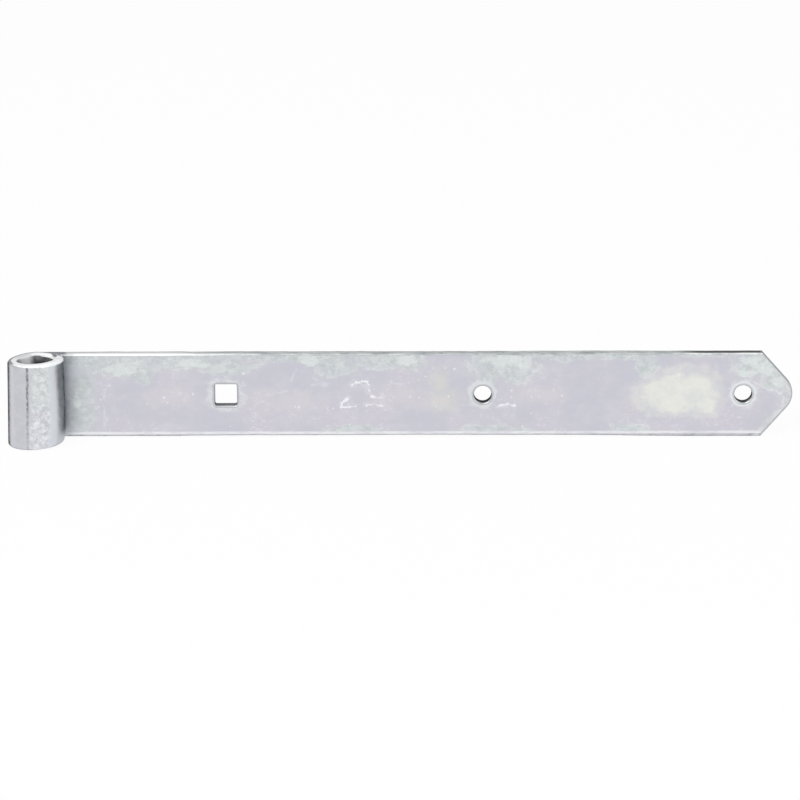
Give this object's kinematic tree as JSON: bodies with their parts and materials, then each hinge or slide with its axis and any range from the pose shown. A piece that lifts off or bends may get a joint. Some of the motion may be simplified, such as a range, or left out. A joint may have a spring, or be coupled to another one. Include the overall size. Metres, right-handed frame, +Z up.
{
  "type": "shutter strap hinge",
  "caption": "Flat steel strap hinge for a shutter, rolled into an eye that drops on a wall pintle, with a pointed end, a square bolt hole and round screw holes, zinc plated.",
  "frame": {"origin": "on the axis of the eye, at half the bar's width", "axes": "+Z up along the eye's axis, +X along the strap to its point, +Y from the eye's front to the strap's back"},
  "size_m": [0.3171, 0.0222, 0.035],
  "materials": {
    "zinc_plate": "zinc plated, satin, mottled lilac grey and pale green grey"
  },
  "bodies": {
    "root": {"hinge_strap": "zinc_plate"}
  },
  "joints": []
}
